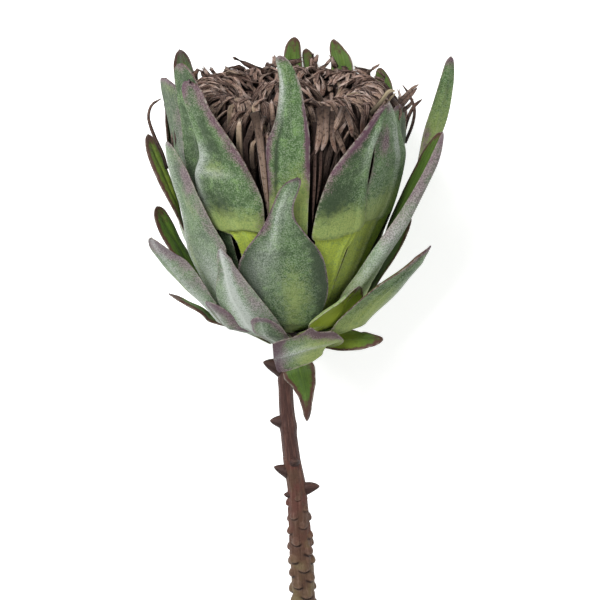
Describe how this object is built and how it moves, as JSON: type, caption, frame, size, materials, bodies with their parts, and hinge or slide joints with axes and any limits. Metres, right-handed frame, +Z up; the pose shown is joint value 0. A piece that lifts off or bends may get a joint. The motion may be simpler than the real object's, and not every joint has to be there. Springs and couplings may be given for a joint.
{
  "type": "protea flower",
  "caption": "Cut protea bloom lying down: a goblet of stiff overlapping bracts round a dense head of strap-like florets, on a woody stem",
  "frame": {"origin": "on the table under the middle of the flower's bounding box, as it lies", "axes": "+Y from the cut end of the stem towards the head, +Z up off the table"},
  "size_m": [0.1214, 0.3346, 0.1103],
  "materials": {
    "stem": "matte brown bark, rough with leaf scars",
    "florets": "matte, fibrous and dark brown with straw tips",
    "bract_outer": "leathery grey-green with a silvery bloom and purple-brown margins",
    "bract_inner": "leathery green with brown margins"
  },
  "bodies": {
    "root": {"basal_bract_01": "bract_outer", "basal_bract_02": "bract_outer", "basal_bract_03": "bract_outer", "basal_bract_04": "bract_outer", "basal_bract_05": "bract_outer", "basal_bract_06": "bract_outer", "basal_bract_07": "bract_outer", "basal_bract_08": "bract_outer", "floret_head": "florets", "inner_bract_01": "bract_outer", "inner_bract_02": "bract_outer", "inner_bract_03": "bract_outer", "inner_bract_04": "bract_outer", "inner_bract_05": "bract_outer", "inner_bract_06": "bract_outer", "inner_bract_07": "bract_outer", "inner_bract_08": "bract_outer", "inner_bract_09": "bract_inner", "inner_bract_10": "bract_inner", "inner_bract_11": "bract_inner", "inner_bract_12": "bract_inner", "inner_bract_13": "bract_inner", "inner_bract_14": "bract_inner", "inner_bract_15": "bract_inner", "inner_bract_16": "bract_inner", "middle_bract_01": "bract_outer", "middle_bract_02": "bract_outer", "middle_bract_03": "bract_outer", "middle_bract_04": "bract_outer", "middle_bract_06": "bract_outer", "middle_bract_07": "bract_outer", "middle_bract_08": "bract_outer", "outer_bract_01": "bract_outer", "outer_bract_02": "bract_outer", "outer_bract_03": "bract_outer", "outer_bract_04": "bract_outer", "outer_bract_05": "bract_outer", "outer_bract_06": "bract_outer", "outer_bract_07": "bract_outer", "outer_bract_08": "bract_outer", "outer_bract_09": "bract_outer", "outer_bract_10": "bract_outer", "resting_bract_left": "bract_outer", "resting_bract_right": "bract_outer", "stem": "stem"}
  },
  "joints": []
}
